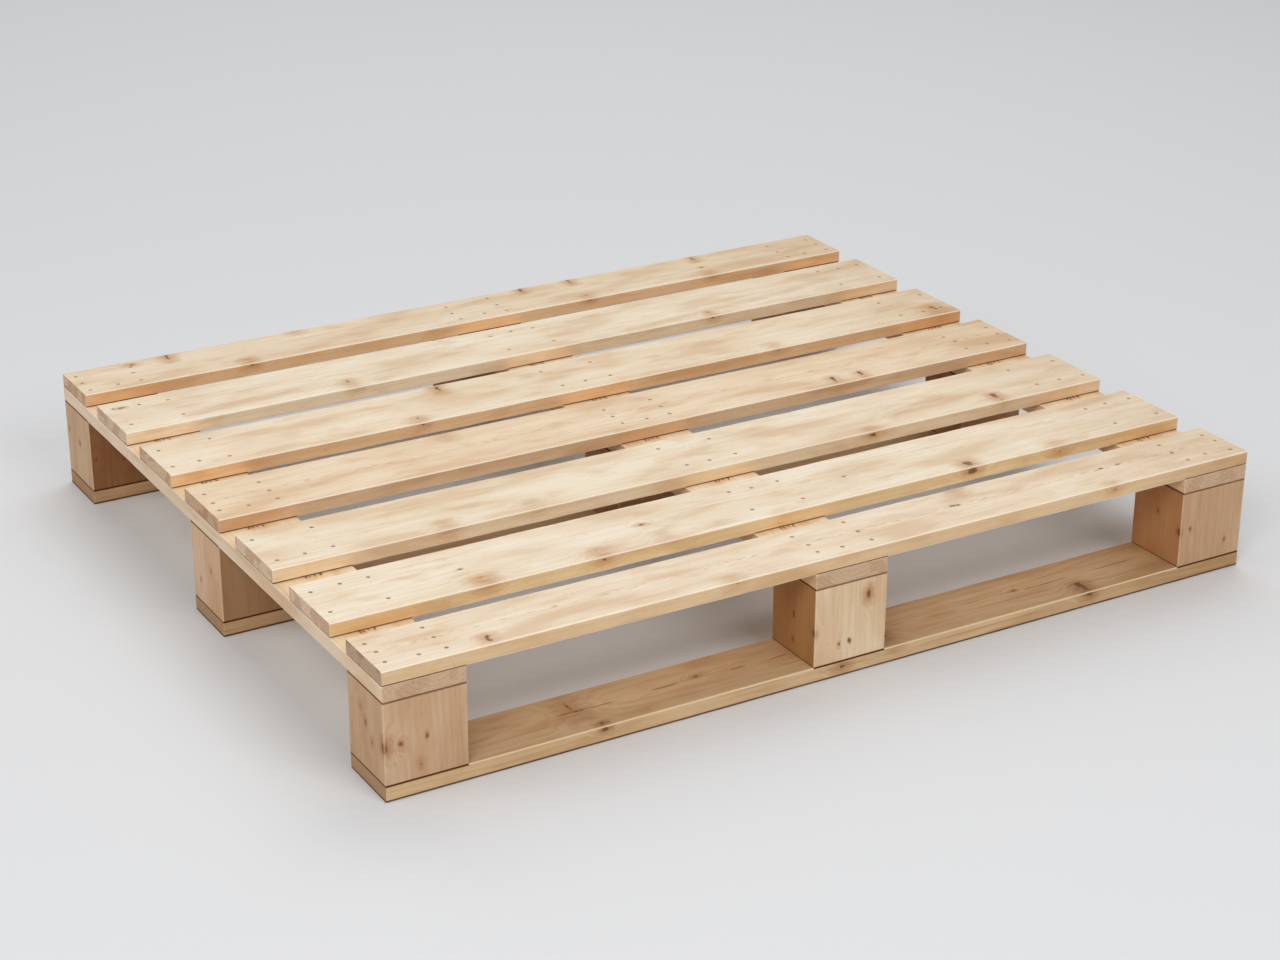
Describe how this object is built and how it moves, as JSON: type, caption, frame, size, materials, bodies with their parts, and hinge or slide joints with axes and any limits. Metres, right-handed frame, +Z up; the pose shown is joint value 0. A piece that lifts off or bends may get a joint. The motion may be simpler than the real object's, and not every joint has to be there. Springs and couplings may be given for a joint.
{
  "type": "wooden pallet",
  "caption": "Four-way wooden block pallet: spaced deck boards over stringer boards, blocks and bottom boards, with fork pockets from all sides.",
  "frame": {"origin": "on the ground under the middle of the pallet", "axes": "+X along the deck boards, +Y across them, +Z up"},
  "size_m": [1.2, 1, 0.158],
  "materials": {
    "deck_wood": "planed pine, pale",
    "stringer_wood": "planed pine, pale",
    "block_wood": "sawn pine, pinkish tan",
    "bottom_wood": "planed pine, tan",
    "nail_steel": "plain bright nail, dulled"
  },
  "bodies": {
    "root": {"deck_board_1": "deck_wood", "deck_board_2": "deck_wood", "deck_board_3": "deck_wood", "deck_board_4": "deck_wood", "deck_board_5": "deck_wood", "deck_board_6": "deck_wood", "deck_board_7": "deck_wood", "stringer_board_left": "stringer_wood", "stringer_board_centre": "stringer_wood", "stringer_board_right": "stringer_wood", "block_front_left": "block_wood", "block_front_centre": "block_wood", "block_front_right": "block_wood", "block_middle_left": "block_wood", "block_middle_centre": "block_wood", "block_middle_right": "block_wood", "block_back_left": "block_wood", "block_back_centre": "block_wood", "block_back_right": "block_wood", "bottom_board_front": "bottom_wood", "bottom_board_middle": "bottom_wood", "bottom_board_back": "bottom_wood", "deck_nails_left": "nail_steel", "deck_nails_centre": "nail_steel", "deck_nails_right": "nail_steel", "block_nails_left": "nail_steel", "block_nails_centre": "nail_steel", "block_nails_right": "nail_steel", "bottom_nails_front": "nail_steel", "bottom_nails_middle": "nail_steel", "bottom_nails_back": "nail_steel"}
  },
  "joints": []
}
